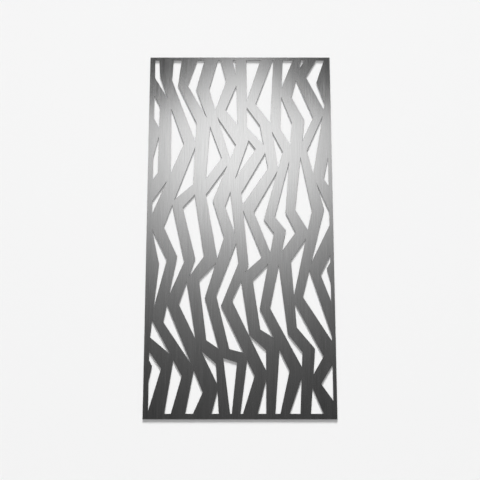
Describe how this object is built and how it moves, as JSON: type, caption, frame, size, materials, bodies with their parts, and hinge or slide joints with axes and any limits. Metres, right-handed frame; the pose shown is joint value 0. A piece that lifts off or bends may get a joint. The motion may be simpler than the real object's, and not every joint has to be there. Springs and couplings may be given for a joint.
{
  "type": "laser-cut metal screen panel",
  "caption": "Flat metal screen sheet with a plain border and laser-cut zig-zag bars, for privacy screens, fences, gates, balustrades and wall cladding.",
  "frame": {"origin": "middle of the sheet's back face", "axes": "+X along the width, +Y along the height towards the top edge, +Z out of the front face"},
  "size_m": [0.9, 1.8, 0.003],
  "materials": {
    "brushed_metal": "brushed along the height, satin"
  },
  "bodies": {
    "root": {"screen_panel": "brushed_metal"}
  },
  "joints": []
}
